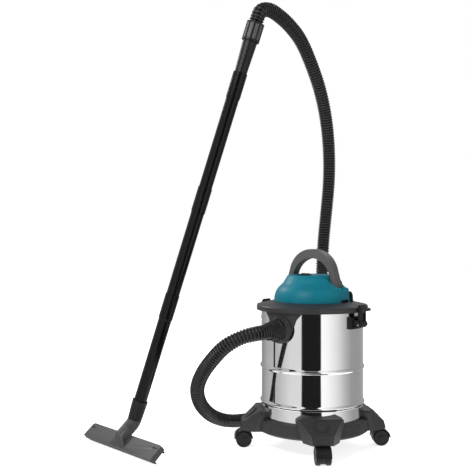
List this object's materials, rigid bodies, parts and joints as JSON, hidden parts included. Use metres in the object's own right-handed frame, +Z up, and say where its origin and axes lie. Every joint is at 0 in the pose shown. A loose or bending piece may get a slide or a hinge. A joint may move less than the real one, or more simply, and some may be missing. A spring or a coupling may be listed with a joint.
{
  "type": "shop vacuum",
  "caption": "Wet and dry canister vacuum: mirror steel drum on swivel castors, lift-off motor head with carrying handle, corrugated hose, push-fit wand and floor nozzle.",
  "frame": {"origin": "centre of the box of the rigid pieces, on the floor", "axes": "+Z up; the drum's inlet faces -Y; the nozzle lies to -X"},
  "size_m": [0.6966, 0.6985, 1.2136],
  "materials": {
    "mirror_steel": "mirror polished stainless steel",
    "teal_shell": "satin moulded teal",
    "handle_grey": "fine moulded grain",
    "case_grey": "fine moulded grain",
    "trim_black": "satin black",
    "cuff_black": "satin black",
    "tube_gloss_black": "gloss black",
    "hose_black": "satin black corrugated",
    "nozzle_grey": "fine moulded grain",
    "blade_rubber": "soft matt",
    "seal_rubber": "soft matt",
    "wheel_black": "hard nylon",
    "zinc_steel": "zinc plated",
    "filter_foam": "open cell foam",
    "motor_core": "copper windings on steel laminations",
    "inner_plastic": "plain moulded"
  },
  "bodies": {
    "drum_and_hose": {"drum_shell": "mirror_steel", "drum_top_ring": "case_grey", "inlet_socket": "case_grey", "inlet_deflector": "inner_plastic", "castor_base": "case_grey", "base_legs": "case_grey", "leg_caps": "case_grey", "base_screws": "zinc_steel", "latch_bracket_left": "trim_black", "latch_bracket_right": "trim_black", "latch_pins": "zinc_steel", "hose_connector": "cuff_black", "suction_hose": "hose_black", "hose_grip": "cuff_black", "wand_cuff": "cuff_black", "wand_tube_top": "tube_gloss_black", "wand_tube_middle": "tube_gloss_black", "wand_tube_bottom": "tube_gloss_black"},
    "head": {"head_base": "case_grey", "rim_seal": "seal_rubber", "head_cover": "teal_shell", "vent_grilles": "trim_black", "exhaust_housing": "case_grey", "head_screws": "zinc_steel", "handle_pins": "zinc_steel", "switch_bezel": "trim_black", "cable_gland": "trim_black", "motor_housing": "inner_plastic", "motor_gasket": "seal_rubber", "field_coils": "motor_core", "filter_cage": "inner_plastic", "filter_sleeve": "filter_foam"},
    "handle": {"handle": "handle_grey"},
    "switch": {"switch_rocker": "trim_black"},
    "rotor": {"motor_shaft": "zinc_steel", "armature": "motor_core", "fan_impeller": "inner_plastic"},
    "float": {"float_cup": "inner_plastic"},
    "latch_left": {"latch_clip_left": "trim_black"},
    "latch_right": {"latch_clip_right": "trim_black"},
    "nozzle": {"nozzle_body": "nozzle_grey", "nozzle_collar": "cuff_black", "nozzle_blades": "blade_rubber", "blade_clips": "nozzle_grey"},
    "castor_front": {"castor_stem_front": "zinc_steel", "castor_hood_front": "trim_black", "castor_axle_front": "zinc_steel"},
    "wheels_front": {"castor_wheels_front": "wheel_black"},
    "castor_right": {"castor_stem_right": "zinc_steel", "castor_hood_right": "trim_black", "castor_axle_right": "zinc_steel"},
    "wheels_right": {"castor_wheels_right": "wheel_black"},
    "castor_back": {"castor_stem_back": "zinc_steel", "castor_hood_back": "trim_black", "castor_axle_back": "zinc_steel"},
    "wheels_back": {"castor_wheels_back": "wheel_black"},
    "castor_left": {"castor_stem_left": "zinc_steel", "castor_hood_left": "trim_black", "castor_axle_left": "zinc_steel"},
    "wheels_left": {"castor_wheels_left": "wheel_black"}
  },
  "joints": [
    {"name": "head_lift", "type": "slide", "parent": "drum_and_hose", "child": "head", "axis": [0, 0, 1], "range_m": [0, 0.25]},
    {"name": "handle_fold", "type": "hinge", "parent": "head", "child": "handle", "pos_m": [0.17588, 0.13381, 0.446], "axis": [1, 0, 0], "range_deg": [-45, 45]},
    {"name": "switch_rock", "type": "hinge", "parent": "head", "child": "switch", "pos_m": [0.17588, 0.08731, 0.471], "axis": [1, 0, 0], "range_deg": [-10, 0]},
    {"name": "motor_spin", "type": "hinge", "parent": "head", "child": "rotor", "pos_m": [0.17588, 0.12581, 0.4], "axis": [0, 0, 1], "continuous": true},
    {"name": "float_rise", "type": "slide", "parent": "head", "child": "float", "axis": [0, 0, 1], "range_m": [0, 0.028]},
    {"name": "latch_left_open", "type": "hinge", "parent": "drum_and_hose", "child": "latch_left", "pos_m": [0.01788, 0.12581, 0.345], "axis": [0, -1, 0], "range_deg": [0, 100]},
    {"name": "latch_right_open", "type": "hinge", "parent": "drum_and_hose", "child": "latch_right", "pos_m": [0.33388, 0.12581, 0.345], "axis": [0, 1, 0], "range_deg": [0, 100]},
    {"name": "nozzle_turn", "type": "hinge", "parent": "drum_and_hose", "child": "nozzle", "pos_m": [-0.18122, -0.21169, 0.07], "axis": [0.2613, 0.1474, 0.9539], "range_deg": [-30, 30]},
    {"name": "swivel_front", "type": "hinge", "parent": "drum_and_hose", "child": "castor_front", "pos_m": [0.29614, -0.00543, 0.046], "axis": [0, 0, 1], "continuous": true},
    {"name": "roll_front", "type": "hinge", "parent": "castor_front", "child": "wheels_front", "pos_m": [0.30424, -0.01427, 0.022], "axis": [0.7373, 0.6756, 0], "continuous": true},
    {"name": "swivel_right", "type": "hinge", "parent": "drum_and_hose", "child": "castor_right", "pos_m": [0.30712, 0.24606, 0.046], "axis": [0, 0, 1], "continuous": true},
    {"name": "roll_right", "type": "hinge", "parent": "castor_right", "child": "wheels_right", "pos_m": [0.31597, 0.25417, 0.022], "axis": [-0.6756, 0.7373, 0], "continuous": true},
    {"name": "swivel_back", "type": "hinge", "parent": "drum_and_hose", "child": "castor_back", "pos_m": [0.05563, 0.25704, 0.046], "axis": [0, 0, 1], "continuous": true},
    {"name": "roll_back", "type": "hinge", "parent": "castor_back", "child": "wheels_back", "pos_m": [0.04752, 0.26589, 0.022], "axis": [-0.7373, -0.6756, 0], "continuous": true},
    {"name": "swivel_left", "type": "hinge", "parent": "drum_and_hose", "child": "castor_left", "pos_m": [0.04465, 0.00555, 0.046], "axis": [0, 0, 1], "continuous": true},
    {"name": "roll_left", "type": "hinge", "parent": "castor_left", "child": "wheels_left", "pos_m": [0.0358, -0.00255, 0.022], "axis": [0.6756, -0.7373, 0], "continuous": true}
  ]
}
